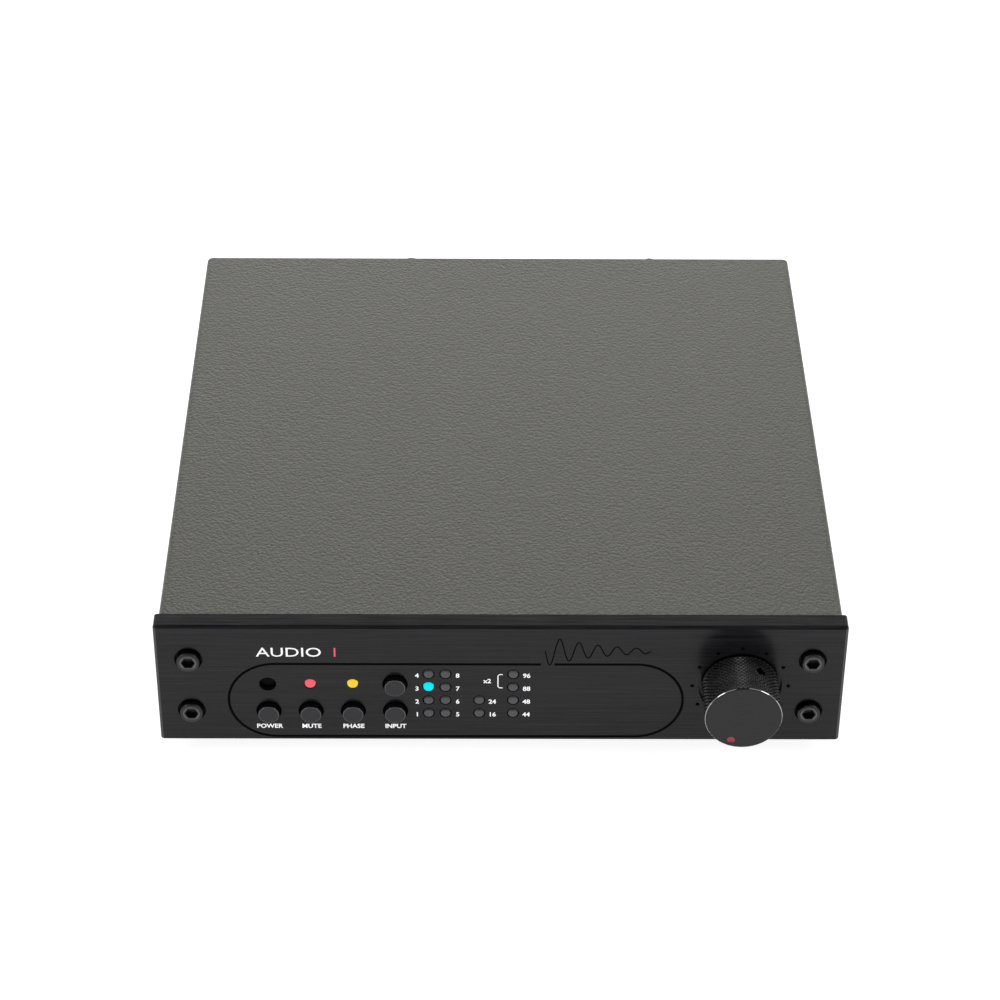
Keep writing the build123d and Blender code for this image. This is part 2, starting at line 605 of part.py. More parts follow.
def xlr_contact_places(x):
    return [(x + 3.6 * sin(radians(turn)), SOCKET_Z + 3.6 * cos(radians(turn))) for turn in (-90, 90, 180)]


def xlr_plug_insert(x):
    """Base that the three pins of an output socket stand on."""
    return rod_y(x, SOCKET_Z, XLR_BORE_R, REAR_Y - XLR_DEPTH, REAR_Y - 13.0)


def xlr_socket_insert(x):
    """Round block with three contact holes, for the input."""
    insert = rod_y(x, SOCKET_Z, 7.9, REAR_Y - XLR_DEPTH, REAR_Y + 0.6)
    insert = fillet(rear_edges(insert), 0.5) + rod_y(x, SOCKET_Z, XLR_BORE_R, REAR_Y - XLR_DEPTH, REAR_Y - 13.0)
    for cx, cz in xlr_contact_places(x):
        insert = insert - rod_y(cx, cz, 1.35, REAR_Y - 11.0, REAR_Y + 0.6)
    return insert


def xlr_pins():
    """Contact pins of the two output sockets."""
    places = [place for x in XLR_X for place in xlr_contact_places(x)]
    return [fillet(rear_edges(rod_y(x, z, 1.2, REAR_Y - 13.0, REAR_Y - 3.6)), 0.6) for x, z in places]


def xlr_latch():
    """Spring tab at the top of the input socket."""
    lever = block(AES_X - 3.2, AES_X + 3.2, REAR_Y + XLR_FLANGE[2], REAR_Y + 3.0, SOCKET_Z + 10.2, SOCKET_Z + 14.6)
    return fillet(lever.edges().filter_by(Axis.Y), 0.8)


def usb_shell():
    shell = block_at(USB_X, SOCKET_ROWS[0], *USB_SHELL, INNER_REAR_Y - 14.0, REAR_Y + 0.6)
    plane = facing_front(REAR_Y - 11.4, USB_X, SOCKET_ROWS[0])
    half_w, half_h = USB_MOUTH[0] / 2, USB_MOUTH[1] / 2
    cut = 1.6
    outline = Polyline(
        (-half_w, -half_h), (half_w, -half_h), (half_w, half_h - cut),
        (half_w - cut, half_h), (-half_w + cut, half_h), (-half_w, half_h - cut), close=True,
    )
    return shell - push_back(make_face(outline), plane, 12.0)


def usb_tongue():
    return block_at(USB_X, SOCKET_ROWS[0], 5.6, 3.2, REAR_Y - 11.4, REAR_Y - 4.0)


def ground_post():
    """Knurled earth terminal above the USB socket."""
    post = rod_y(USB_X, SOCKET_ROWS[1], 2.0, INNER_REAR_Y - 6.0, REAR_Y + 8.4)
    thumb = chamfer(rear_edges(rod_y(USB_X, SOCKET_ROWS[1], 4.6, REAR_Y + 1.0, REAR_Y + 7.4)), 0.5)
    washer = rod_y(USB_X, SOCKET_ROWS[1], 4.0, REAR_Y, REAR_Y + 1.0)
    nut = hex_y(USB_X, SOCKET_ROWS[1], 7.0, INNER_REAR_Y - 2.4, INNER_REAR_Y)
    return post + thumb + washer + nut


def optical_housing(z):
    """Square optical socket whose flap hangs on a pin just behind its mouth."""
    body = block_at(OPTICAL_X, z, 2 * OPTICAL_HALF, 2 * OPTICAL_HALF, REAR_Y - 14.0, REAR_Y + 0.8)
    room = block_at(OPTICAL_X, z, 7.0, 7.2, REAR_Y - 9.0, REAR_Y)
    mouth = block_at(OPTICAL_X, z - 0.3, 2 * OPTICAL_MOUTH_HALF, 2 * OPTICAL_MOUTH_HALF, REAR_Y, REAR_Y + 0.8)
    bore = rod_x(REAR_Y - 1.2, z + 2.4, 0.5 + RUNNING_GAP, OPTICAL_X - 4.4, OPTICAL_X + 4.4)
    return body - room - mouth - bore


def optical_shutter(z):
    """Flap with its own hinge pin, that a plug swings inwards."""
    pin_y, pin_z = REAR_Y - 1.2, z + 2.4
    pin = rod_x(pin_y, pin_z, 0.5, OPTICAL_X - 4.2, OPTICAL_X + 4.2)
    knuckle = rod_x(pin_y, pin_z, 0.8, OPTICAL_X - FLAP_HALF, OPTICAL_X + FLAP_HALF)
    flap = block(OPTICAL_X - FLAP_HALF, OPTICAL_X + FLAP_HALF, pin_y, pin_y + 0.8, z - 3.2, pin_z)
    return pin + knuckle + flap


def inlet_housing():
    """Mains inlet: flange, body, the well for the plug and the slot for the fuse drawer above it."""
    plane = facing_front(REAR_Y, INLET_X, SOCKET_Z)
    flange = push_back(RectangleRounded(INLET_FLANGE[0], INLET_FLANGE[1], 2.0), plane, INLET_FLANGE[2])
    flange = fillet(rear_edges(flange), 0.6)
    body = block_at(INLET_X, SOCKET_Z, INLET_BODY[0], INLET_BODY[1], REAR_Y - INLET_BODY[2], REAR_Y)
    half_w, half_h = INLET_MOUTH[0] / 2, INLET_MOUTH[1] / 2
    cut = 4.5
    outline = Polyline(
        (-half_w, half_h), (half_w, half_h), (half_w, -half_h + cut),
        (half_w - cut, -half_h), (-half_w + cut, -half_h), (-half_w, -half_h + cut), close=True,
    )
    mouth_y = REAR_Y - INLET_MOUTH[2]
    well = push_back(make_face(outline), facing_front(mouth_y, INLET_X, INLET_MOUTH_Z), INLET_MOUTH[2] + 3.0)
    slot = block_at(
        INLET_X, DRAWER_Z, DRAWER[0] + 2 * DRAWER_GAP, DRAWER[1] + 2 * DRAWER_GAP,
        REAR_Y - DRAWER[2] - DRAWER_GAP, REAR_Y + INLET_FLANGE[2],
    )
    return flange + body - well - slot


def inlet_blades():
    """Three flat pins in the well, the middle one for earth set lower."""
    places = [(INLET_X - 7, INLET_MOUTH_Z + 2), (INLET_X, INLET_MOUTH_Z - 2), (INLET_X + 7, INLET_MOUTH_Z + 2)]
    blades = [block_at(x, z, 2.0, 4.0, REAR_Y - INLET_MOUTH[2], REAR_Y - 3.0) for x, z in places]
    return [fillet(rear_edges(blade), 0.6) for blade in blades]


def fuse_drawer():
    """Drawer that holds the fuse across it, with a lip to pull it out by."""
    front = REAR_Y + INLET_FLANGE[2]
    drawer = block_at(INLET_X, DRAWER_Z, DRAWER[0], DRAWER[1], REAR_Y - DRAWER[2], front)
    lip = block_at(INLET_X, DRAWER_Z + DRAWER[1] / 2 - 1.0, 10.0, 2.0, front, front + 1.6)
    pocket = block(
        INLET_X - 10.1, INLET_X + 10.1, REAR_Y - 9.4, REAR_Y - 4.0,
        DRAWER_Z - 2.7, DRAWER_Z + DRAWER[1] / 2,
    )
    return drawer + fillet(lip.edges().filter_by(Axis.Y), 0.8) - pocket


def fuse():
    return rod_x(REAR_Y - 6.7, DRAWER_Z, FUSE_R, INLET_X - 10.0, INLET_X + 10.0)


# ---------------------------------------------------------------- electronics
MAIN_POSTS = [(-42.0, -70.0), (-42.0, 10.0), (40.0, 10.0), (91.0, -20.0), (91.0, 60.0), (-42.0, 72.0)]
PSU_POSTS = [(-92.0, -62.0), (-54.0, -62.0), (-92.0, 66.0), (-54.0, 66.0)]


def board(extent, posts):
    x0, x1, y0, y1 = extent
    return block(x0, x1, y0, y1, BOARD_Z, BOARD_TOP) - [rod_z(x, y, 1.7, BOARD_Z, BOARD_TOP) for x, y in posts]


def standoff(x, y):
    return Pos(x, y, FLOOR_Z) * hex_prism(5.5, BOARD_Z - FLOOR_Z) - rod_z(x, y, 1.5 + THREAD_GAP, FLOOR_Z, BOARD_Z)


def board_screws():
    """Screws of the boards on the floor, and those of the display board."""
    upright = [Pos(x, y, BOARD_TOP) * screw(4.5) for x, y in MAIN_POSTS + PSU_POSTS]
    behind = [Pos(x, DISPLAY_Y + BOARD_T, z) * Rot(-90, 0, 0) * screw(5.0) for x, z in display_posts()]
    return group(upright + behind)


def chip(x, y, width, depth, height):
    return block(x - width / 2, x + width / 2, y - depth / 2, y + depth / 2, BOARD_TOP, BOARD_TOP + height)


def chips():
    """Integrated circuits on the main board."""
    pieces = [chip(-12.0, 10.0, 14.0, 14.0, 1.4), chip(14.0, 34.0, 10.0, 10.0, 1.2), chip(-28.0, 44.0, 9.0, 9.0, 1.2)]
    for column in range(4):
        pieces.append(chip(30.0 + 15.0 * column, 50.0, 4.0, 5.0, 1.5))
        pieces.append(chip(30.0 + 15.0 * column, 30.0, 4.0, 5.0, 1.5))
    for x in (-30.0, -12.0, 6.0):
        pieces.append(chip(x, -20.0, 6.5, 4.0, 1.6))
    return pieces


def relays():
    """Output muting relays."""
    return [chip(x, 68.0, 7.4, 14.6, 10.0) for x in (28.0, 50.0, 72.0)]


def electrolytic(x, y, radius, height):
    can = rod_z(x, y, radius, BOARD_TOP, BOARD_TOP + height)
    return fillet(top_edges(can), 0.8)


def electrolytics():
    pieces = [electrolytic(x, -30.0, 6.0, 20.0) for x in (-88.0, -74.0)]
    pieces += [electrolytic(-60.0, y, 5.0, 16.0) for y in (-46.0, -32.0)]
    pieces += [electrolytic(-4.0 + 11.0 * i, -4.0, 4.0, 11.0) for i in range(1, 7)]
    pieces += [electrolytic(22.5 + 15.0 * i, 40.0, 3.2, 8.0) for i in range(5)]
    return group(pieces)


def heatsink():
    """Finned heatsink of the regulators."""
    x0, x1, y0 = -92.0, -66.0, -12.0
    back = block(x0, x1, y0, y0 + 3.0, BOARD_TOP, BOARD_TOP + 22.0)
    fins = [block(x0 + 3.8 * i, x0 + 3.8 * i + 1.4, y0 + 3.0, y0 + 12.0, BOARD_TOP, BOARD_TOP + 22.0) for i in range(7)]
    return back + fins


def transformer_core():
    """Laminated core that goes through the winding and round its ends."""
    core = block(-92.0, -58.0, 12.0, 40.0, BOARD_TOP + 2.0, BOARD_TOP + 24.0)
    room = [block(x, x + 7.0, 18.0, 34.0, BOARD_TOP + 2.0, BOARD_TOP + 24.0) for x in (-86.0, -71.0)]
    return core - room


def transformer_winding():
    """Bobbin and winding round the middle limb of the core."""
    outer = block(-85.8, -64.2, 18.2, 33.8, BOARD_TOP, BOARD_TOP + 26.0)
    limb = block(-79.0, -71.0, 18.2, 33.8, BOARD_TOP + 2.0, BOARD_TOP + 24.0)
    return outer - limb


def headers():
    """Sockets of the ribbon cable and of the mains lead."""
    on_display = block(-34.0, -16.0, DISPLAY_Y + BOARD_T, DISPLAY_Y + BOARD_T + 6.0, 28.0, 33.0)
    on_main = block(-34.0, -16.0, -64.0, -59.0, BOARD_TOP, BOARD_TOP + 6.0)
    mains = block(-92.0, -72.0, 52.0, 60.0, BOARD_TOP, BOARD_TOP + 9.0)
    return [on_display, on_main, mains]


def ribbon_cable():
    """Flat cable from the display board down to the main board, bent on arcs."""
    start_y = DISPLAY_Y + BOARD_T + 6.0
    path = FilletPolyline((-25.0, start_y, 30.5), (-25.0, -61.5, 30.5), (-25.0, -61.5, BOARD_TOP + 6.0), radius=5.0)
    return sweep(Plane(origin=path @ 0, x_dir=(1, 0, 0), z_dir=path % 0) * Rectangle(14.0, 0.9), path=path)


def mains_wires():
    """Three insulated wires from the inlet to the power board."""
    start_y = REAR_Y - INLET_BODY[2]
    return group(
        wire([(x, start_y, 24.0), (x, 68.5, 24.0), (x, 68.5, 17.5), (x, 60.0, 17.5)], 1.1, 2.2)
        for x in (INLET_X - 7, INLET_X, INLET_X + 7)
    )


# ---------------------------------------------------------------- every node
def nodes():
    made = {
        "front_panel": front_panel(),
        "panel_screws": at_panel_screws(panel_screw),
        "panel_nuts": at_panel_screws(panel_nut),
    }
    made.update({name: button(*place) for name, place in BUTTON_PLACES.items()})
    made.update({name: light(*place, BIG_LIGHT_R, BIG_LIGHT_REACH) for name, place in BIG_LIGHT_PLACES.items()})
    dark = [place for place in SMALL_LIGHT_PLACES if place != ACTIVE_LIGHT_PLACE]
    made.update({
        "active_light": light(*ACTIVE_LIGHT_PLACE, LIGHT_R, LIGHT_REACH),
        "status_lights": group(light(*place, LIGHT_R, LIGHT_REACH) for place in dark),
        "light_leads": light_leads(),
        "switch_bodies": group(switch_body(*place) for place in BUTTON_PLACES.values()),
        "ir_window": ir_window(),
        "display_board": display_board(),
        "volume_knob": volume_knob(),
        "knob_set_screw": knob_set_screw(),
        "pot_shaft": pot_shaft(),
        "pot_wiper": pot_wiper(),
        "pot_housing": pot_housing(),
        "pot_nut": pot_nut(),
        "shaft_gear": shaft_gear(),
        "idler_gear": idler_gear(),
        "motor_pinion": motor_pinion(),
        "gearbox_housing": gearbox_housing(),
        "motor_can": motor_can(),
        "chassis_base": chassis_base(),
        "top_cover": top_cover(),
        "rear_panel": rear_panel(),
        "rubber_feet": group(rubber_foot(x, y) for x, y in FOOT_XY),
        "case_screws": case_screws(),
        "phono_barrels": group(phono_barrel(x, z) for x, z in phono_places()),
        "phono_inserts_white": group(phono_insert(x, SOCKET_ROWS[1]) for x in ANALOGUE_X),
        "phono_inserts_red": group(phono_insert(x, SOCKET_ROWS[0]) for x in ANALOGUE_X),
        "socket_blocks": group(socket_block(x, 11.0, 12.0) for x in (DIGITAL_X, *ANALOGUE_X, TRIGGER_X)),
        "trigger_jacks": group(trigger_jack(z) for z in SOCKET_ROWS),
        "xlr_shells": group(xlr_shell(x) for x in (AES_X, *XLR_X)),
        "black_inserts": group(
            [phono_insert(DIGITAL_X, z) for z in SOCKET_ROWS]
            + [xlr_socket_insert(AES_X)]
            + [xlr_plug_insert(x) for x in XLR_X]
            + [usb_tongue()]
        ),
        "socket_pins": group(inlet_blades() + xlr_pins()),
        "xlr_latch": xlr_latch(),
        "usb_shell": usb_shell(),
        "ground_post": ground_post(),
        "optical_housings": group(optical_housing(z) for z in SOCKET_ROWS),
        "optical_shutter_1": optical_shutter(SOCKET_ROWS[0]),
        "optical_shutter_2": optical_shutter(SOCKET_ROWS[1]),
        "inlet_housing": inlet_housing(),
        "fuse_drawer": fuse_drawer(),
        "fuse": fuse(),
        "main_board": board(MAIN_BOARD, MAIN_POSTS),
        "psu_board": board(PSU_BOARD, PSU_POSTS),
        "standoffs": group(
            [standoff(x, y) for x, y in MAIN_POSTS + PSU_POSTS]
            + [display_spacer(x, z) for x, z in display_posts()]
        ),
        "board_screws": board_screws(),
        "board_components": group(chips() + relays() + headers()),
        "electrolytics": electrolytics(),
        "heatsink": heatsink(),
        "transformer_core": transformer_core(),
        "transformer_winding": transformer_winding(),
        "ribbon_cable": ribbon_cable(),
        "mains_wires": mains_wires(),
    })
    return made


os.makedirs("parts", exist_ok=True)
for name, shape in nodes().items():
    export_step(shape, f"parts/{name}.step")
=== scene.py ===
import json
import math

import bmesh
import bpy
from mathutils import Matrix, Vector


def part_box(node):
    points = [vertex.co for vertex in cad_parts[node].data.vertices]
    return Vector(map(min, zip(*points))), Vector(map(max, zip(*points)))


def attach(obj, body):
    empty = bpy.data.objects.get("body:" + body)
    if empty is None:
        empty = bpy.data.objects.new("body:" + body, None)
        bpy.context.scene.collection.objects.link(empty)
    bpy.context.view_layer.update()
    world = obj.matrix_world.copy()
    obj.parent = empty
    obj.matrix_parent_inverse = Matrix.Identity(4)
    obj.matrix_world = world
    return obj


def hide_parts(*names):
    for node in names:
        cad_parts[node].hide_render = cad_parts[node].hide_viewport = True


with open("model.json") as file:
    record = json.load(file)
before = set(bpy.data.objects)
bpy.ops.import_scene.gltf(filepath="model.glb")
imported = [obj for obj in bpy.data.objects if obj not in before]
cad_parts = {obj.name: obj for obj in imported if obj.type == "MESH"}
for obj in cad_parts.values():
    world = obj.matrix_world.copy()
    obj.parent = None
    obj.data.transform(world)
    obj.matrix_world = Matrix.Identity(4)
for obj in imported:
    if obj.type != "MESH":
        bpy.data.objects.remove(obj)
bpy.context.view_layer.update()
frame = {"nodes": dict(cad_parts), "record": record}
scene = bpy.context.scene
nodes = frame["nodes"]

# ---------------------------------------------------------------- places taken from the CAD
MM = 0.001
panel_low, panel_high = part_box("front_panel")
FACE_Y = panel_low.y
PANEL_Z = panel_low.z
knob_low, knob_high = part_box("volume_knob")
KNOB_X = (knob_low.x + knob_high.x) / 2
KNOB_Z = (knob_low.z + knob_high.z) / 2
KNOB_R = (knob_high.x - knob_low.x) / 2
REAR_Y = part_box("rear_panel")[1].y


def centre_of(node):
    low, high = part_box(node)
    return (low + high) / 2


# ---------------------------------------------------------------- helpers for materials
def srgb(red, green, blue):
    """Linear colour of an 8-bit display colour."""
    def channel(value):
        value /= 255
        return value / 12.92 if value <= 0.04045 else ((value + 0.055) / 1.055) ** 2.4
    return (channel(red), channel(green), channel(blue), 1.0)


class Shader:
    """A material and short ways to add nodes to it."""

    def __init__(self, name, **values):
        self.material = bpy.data.materials.new(name)
        self.material.use_nodes = True
        self.tree = self.material.node_tree
        self.surface = self.tree.nodes["Principled BSDF"]
        self.set(**values)

    def set(self, **values):
        for key, value in values.items():
            self.surface.inputs[key.replace("_", " ")].default_value = value

    def node(self, kind, settings=None, **values):
        made = self.tree.nodes.new(kind)
        for key, value in (settings or {}).items():
            setattr(made, key, value)
        for key, value in values.items():
            made.inputs[key.replace("_", " ")].default_value = value
        return made

    def link(self, source, target):
        self.tree.links.new(source, target)

    def coordinates(self, scale=(1, 1, 1)):
        """Positions on the object in metres, stretched by scale."""
        place = self.node("ShaderNodeTexCoord")
        mapping = self.node("ShaderNodeMapping")
        mapping.inputs["Scale"].default_value = scale
        self.link(place.outputs["Object"], mapping.inputs["Vector"])
        return mapping.outputs["Vector"]

    def noise(self, scale, detail=2.0, stretch=(1, 1, 1), roughness=0.5):
        made = self.node("ShaderNodeTexNoise", Scale=scale, Detail=detail, Roughness=roughness)
        self.link(self.coordinates(stretch), made.inputs["Vector"])
        return made.outputs["Fac"]

    def ramp(self, source, stops):
        """Value or colour ramp: stops are (position, colour) pairs."""
        made = self.node("ShaderNodeValToRGB")
        elements = made.color_ramp.elements
        while len(elements) < len(stops):
            elements.new(0.5)
        for element, (position, colour) in zip(elements, stops):
            element.position = position
            element.color = colour if len(colour) == 4 else (*colour, 1.0)
        self.link(source, made.inputs["Fac"])
        return made.outputs["Color"]

    def spread(self, source, low, high, source_low=0.3, source_high=0.7):
        made = self.node("ShaderNodeMapRange", From_Min=source_low, From_Max=source_high)
        made.inputs["To Min"].default_value = low
        made.inputs["To Max"].default_value = high
        self.link(source, made.inputs["Value"])
        return made.outputs["Result"]

    def roughness(self, source):
        self.link(source, self.surface.inputs["Roughness"])

    def colour(self, source):
        self.link(source, self.surface.inputs["Base Color"])

    def bump(self, source, height, strength=1.0):
        """Adds relief of that height in metres on top of any relief so far."""
        made = self.node("ShaderNodeBump", Distance=height, Strength=strength)
        self.link(source, made.inputs["Height"])
        normal = self.surface.inputs["Normal"]
        if normal.is_linked:
            self.link(normal.links[0].from_socket, made.inputs["Normal"])
        self.link(made.outputs["Normal"], normal)


def tint(colour, factor):
    return (colour[0] * factor, colour[1] * factor, colour[2] * factor, 1.0)


# ---------------------------------------------------------------- materials
def powder_coat(name, colour, grain=1.0 * MM, relief=0.3 * MM, gloss=0.4):
    """Leather-textured powder coat: rounded grains with fine noise between them, its colour painted dark in
    the hollows of the fine relief and light on its tops as shade and highlight.
    """
    made = Shader(name, Roughness=gloss, Specular_IOR_Level=0.5)
    grains = made.node("ShaderNodeTexVoronoi", {"feature": "SMOOTH_F1"}, Scale=1 / grain, Smoothness=0.4)
    warp = made.node("ShaderNodeVectorMath", {"operation": "ADD"})
    drift = made.node("ShaderNodeTexNoise", Scale=1.1 / grain, Detail=2.0)
    shift = made.node("ShaderNodeVectorMath", {"operation": "SCALE"})
    shift.inputs["Scale"].default_value = grain * 0.9
    place = made.coordinates()
    made.link(place, drift.inputs["Vector"])
    made.link(drift.outputs["Color"], shift.inputs[0])
    made.link(place, warp.inputs[0])
    made.link(shift.outputs[0], warp.inputs[1])
    made.link(warp.outputs[0], grains.inputs["Vector"])
    lumps = made.noise(1.5 / grain, 4.0, roughness=0.7)
    made.bump(lumps, relief * 0.8)
    made.bump(grains.outputs["Distance"], -relief)
    # painted shade and highlight: the colour follows the fine relief, dark in its hollows and light on its
    # tops
    relief_shade_and_highlight = [(0.4, tint(colour, 0.2)), (0.49, tint(colour, 0.95)), (0.6, tint(colour, 1.5))]
    made.colour(made.ramp(lumps, relief_shade_and_highlight))
    made.roughness(made.spread(lumps, gloss - 0.07, gloss + 0.1))
    return made.material


def brushed(name, colour, metallic, gloss, along="X", streak=0.12 * MM, relief=0.004 * MM, **look):
    """Metal brushed along one axis; look may hold contrast between the streaks and shine."""
    contrast = look.get("contrast", 0.25)
    shine = look.get("shine", 0.5)
    made = Shader(name, Metallic=metallic, Roughness=gloss, Specular_IOR_Level=shine)
    stretch = [1, 1, 1]
    stretch["XYZ".index(along)] = 0.012
    streaks = made.noise(1 / streak, 3.0, tuple(stretch), 0.6)
    patches = made.noise(60, 2.0)
    made.bump(streaks, relief)
    low, high = tint(colour, 1 - contrast), tint(colour, 1 + contrast)
    made.colour(made.ramp(streaks, [(0.3, low), (0.7, high)]))
    wear = made.node("ShaderNodeMath", {"operation": "MULTIPLY"})
    made.link(streaks, wear.inputs[0])
    made.link(patches, wear.inputs[1])
    made.roughness(made.spread(wear.outputs[0], gloss - 0.06, gloss + 0.1, 0.1, 0.45))
    return made.material


def plain_metal(name, colour, gloss, grain=0.2 * MM, relief=0.003 * MM):
    made = Shader(name, Metallic=1.0, Roughness=gloss)
    fine = made.noise(1 / grain, 3.0)
    soft = made.noise(180, 2.0)
    made.bump(fine, relief)
    made.colour(made.ramp(soft, [(0.3, tint(colour, 0.93)), (0.7, tint(colour, 1.04))]))
    made.roughness(made.spread(fine, gloss - 0.06, gloss + 0.1))
    return made.material


def plastic(name, colour, gloss, grain=0.3 * MM, relief=0.006 * MM, **values):
    made = Shader(name, Roughness=gloss, **values)
    fine = made.noise(1 / grain, 3.0)
    soft = made.noise(240, 2.0)
    made.bump(fine, relief)
    made.colour(made.ramp(soft, [(0.3, tint(colour, 0.85)), (0.7, tint(colour, 1.15))]))
    made.roughness(made.spread(fine, gloss - 0.06, gloss + 0.1))
    return made.material


def lit(name, colour):
    """Lit diode: a glowing moulded dome, slightly uneven in colour through its resin."""
    made = Shader(name, Roughness=0.25, Base_Color=tint(colour, 0.03), Emission_Strength=1.0)
    made.set(Specular_IOR_Level=0.12)
    cells = made.noise(2600, 2.0)
    made.bump(cells, 0.006 * MM)
    glow = made.ramp(cells, [(0.35, tint(colour, 0.86)), (0.65, colour)])
    made.link(glow, made.surface.inputs["Emission Color"])
    return made.material


def turned(name, colour, metallic, gloss, centre_x, centre_z, contrast=0.3, shine=0.5):
    """Faced on a lathe: fine rings about an axis along Y."""
    made = Shader(name, Metallic=metallic, Roughness=gloss, Specular_IOR_Level=shine)
    place = made.node("ShaderNodeTexCoord")
    shift = made.node("ShaderNodeVectorMath", {"operation": "SUBTRACT"})
    shift.inputs[1].default_value = (centre_x, 0, centre_z)
    flat = made.node("ShaderNodeVectorMath", {"operation": "MULTIPLY"})
    flat.inputs[1].default_value = (1, 0, 1)
    length = made.node("ShaderNodeVectorMath", {"operation": "LENGTH"})
    made.link(place.outputs["Object"], shift.inputs[0])
    made.link(shift.outputs[0], flat.inputs[0])
    made.link(flat.outputs[0], length.inputs[0])
    rings = made.node("ShaderNodeTexNoise", {"noise_dimensions": "1D"}, Scale=5200.0, Detail=3.0)
    made.link(length.outputs["Value"], rings.inputs["W"])
    made.bump(rings.outputs["Fac"], 0.004 * MM)
    low, high = tint(colour, 1 - contrast), tint(colour, 1 + contrast)
    made.colour(made.ramp(rings.outputs["Fac"], [(0.3, low), (0.7, high)]))
    made.roughness(made.spread(rings.outputs["Fac"], gloss - 0.05, gloss + 0.08))
    return made.material


COVER = srgb(44, 45, 35)
PANEL = (0.0105, 0.0105, 0.0118, 1)
WINDOW = (0.002, 0.0015, 0.002, 1)

MATERIALS = {
    "panel_black": brushed("panel_black", PANEL, 0.0, 0.2, "X", 0.3 * MM, shine=0.19, contrast=0.55),
    "knob_black": turned("knob_black", (0.011, 0.011, 0.013, 1), 0.0, 0.3, KNOB_X, KNOB_Z, shine=0.26),
    "button_black": brushed("button_black", (0.014, 0.014, 0.017, 1), 0.0, 0.4, shine=0.3),
    "screw_black": plain_metal("screw_black", (0.06, 0.06, 0.062, 1), 0.34),
    "steel_plain": plain_metal("steel_plain", (0.6, 0.6, 0.61, 1), 0.3),
    "cover_grey": powder_coat("cover_grey", COVER),
    "case_grey": powder_coat("case_grey", COVER),
    "rear_black": powder_coat("rear_black", (0.022, 0.022, 0.023, 1), 0.4 * MM, 0.02 * MM, 0.45),
    "rubber_black": plastic("rubber_black", (0.016, 0.016, 0.017, 1), 0.75, 0.5 * MM, 0.02 * MM),
    "window_black": plastic("window_black", WINDOW, 0.2, 1 * MM, 0.001 * MM, Specular_IOR_Level=0.03),
    "light_off": plastic("light_off", (0.05, 0.05, 0.056, 1), 0.3, 0.4 * MM, 0.004 * MM),
    "light_cyan": lit("light_cyan", (0.0, 0.84, 0.92, 1)),
    "light_red": lit("light_red", (0.92, 0.14, 0.19, 1)),
    "light_amber": lit("light_amber", (0.98, 0.69, 0.05, 1)),
    "plastic_black": plastic("plastic_black", (0.014, 0.014, 0.015, 1), 0.42),
    "plastic_grey": plastic("plastic_grey", (0.09, 0.09, 0.09, 1), 0.45),
    "nylon_white": plastic("nylon_white", (0.75, 0.74, 0.68, 1), 0.4),
    "brass_plain": plain_metal("brass_plain", (0.72, 0.5, 0.2, 1), 0.28),
    "contact_gold": plain_metal("contact_gold", (0.9, 0.62, 0.22, 1), 0.16),
    "pin_nickel": plain_metal("pin_nickel", (0.66, 0.64, 0.6, 1), 0.22),
    "socket_nickel": plain_metal("socket_nickel", (0.36, 0.355, 0.34, 1), 0.34),
    "insert_white": plastic("insert_white", (0.8, 0.8, 0.78, 1), 0.3),
    "insert_red": plastic("insert_red", (0.5, 0.015, 0.015, 1), 0.3),
    "board_green": plastic("board_green", (0.01, 0.08, 0.035, 1), 0.3, 2 * MM, 0.03 * MM),
    "component_black": plastic("component_black", (0.02, 0.02, 0.022, 1), 0.5),
    "capacitor_sleeve": plastic("capacitor_sleeve", (0.02, 0.03, 0.08, 1), 0.3),
    "heatsink_black": brushed("heatsink_black", (0.02, 0.02, 0.021, 1), 0.3, 0.4, "Z"),
    "core_iron": brushed("core_iron", (0.14, 0.13, 0.12, 1), 0.6, 0.45, "X", 0.5 * MM),
    "winding_tape": plastic("winding_tape", (0.6, 0.4, 0.06, 1), 0.4),
    "cable_grey": brushed("cable_grey", (0.4, 0.4, 0.41, 1), 0.0, 0.5, "Y", 1 * MM, 0.02 * MM),
    "wire_brown": plastic("wire_brown", (0.14, 0.05, 0.02, 1), 0.45),
}
glass = Shader("fuse_glass", Roughness=0.06, Transmission_Weight=0.9, IOR=1.5)
glass.set(Base_Color=(0.9, 0.92, 0.92, 1))
glass.bump(glass.noise(900, 2.0), 0.004 * MM)
MATERIALS["fuse_glass"] = glass.material

for part in frame["record"]["subparts"]:
    slots = nodes[part["node"]].data.materials
    slots.clear()
    slots.append(MATERIALS[part["material_slot"]])


def paint(name, colour, gloss=0.5, **values):
    """Screen-printed ink, very slightly uneven."""
    return plastic(name, colour, gloss, 0.2 * MM, 0.002 * MM, **values)


# the white and red inks also glow a little: painted brightness that no lamp gives them
WHITE_INK_GLOWING = paint("white_ink_glowing", (0.82, 0.82, 0.83, 1), Emission_Color=(1, 1, 1, 1), Emission_Strength=0.3)
RED_INK_GLOWING = paint("red_ink_glowing", (0.75, 0.06, 0.1, 1), Emission_Color=(0.8, 0.06, 0.1, 1), Emission_Strength=0.25)
# black ink for the printed motif and the dots, also laid over the engraved loop as painted shade
BLACK_INK_AND_SHADE = paint("black_ink_and_shade", (0.0015, 0.0015, 0.0015, 1), 0.7, Specular_IOR_Level=0.02)


# ---------------------------------------------------------------- helpers for pieces
def add(name, mesh, body, slot, *materials):
    """Puts a mesh in the scene as a piece that rides on a body."""
    piece = bpy.data.objects.new(name, mesh)
    scene.collection.objects.link(piece)
    for material in materials:
        mesh.materials.append(material)
    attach(piece, body)
    return piece


def from_bmesh(name, work):
    mesh = bpy.data.meshes.new(name)
    bmesh.ops.recalc_face_normals(work, faces=work.faces)
    work.to_mesh(mesh)
    work.free()
    return mesh


def smooth(mesh, angle=35):
    mesh.shade_smooth()
    mesh.set_sharp_from_angle(angle=math.radians(angle))


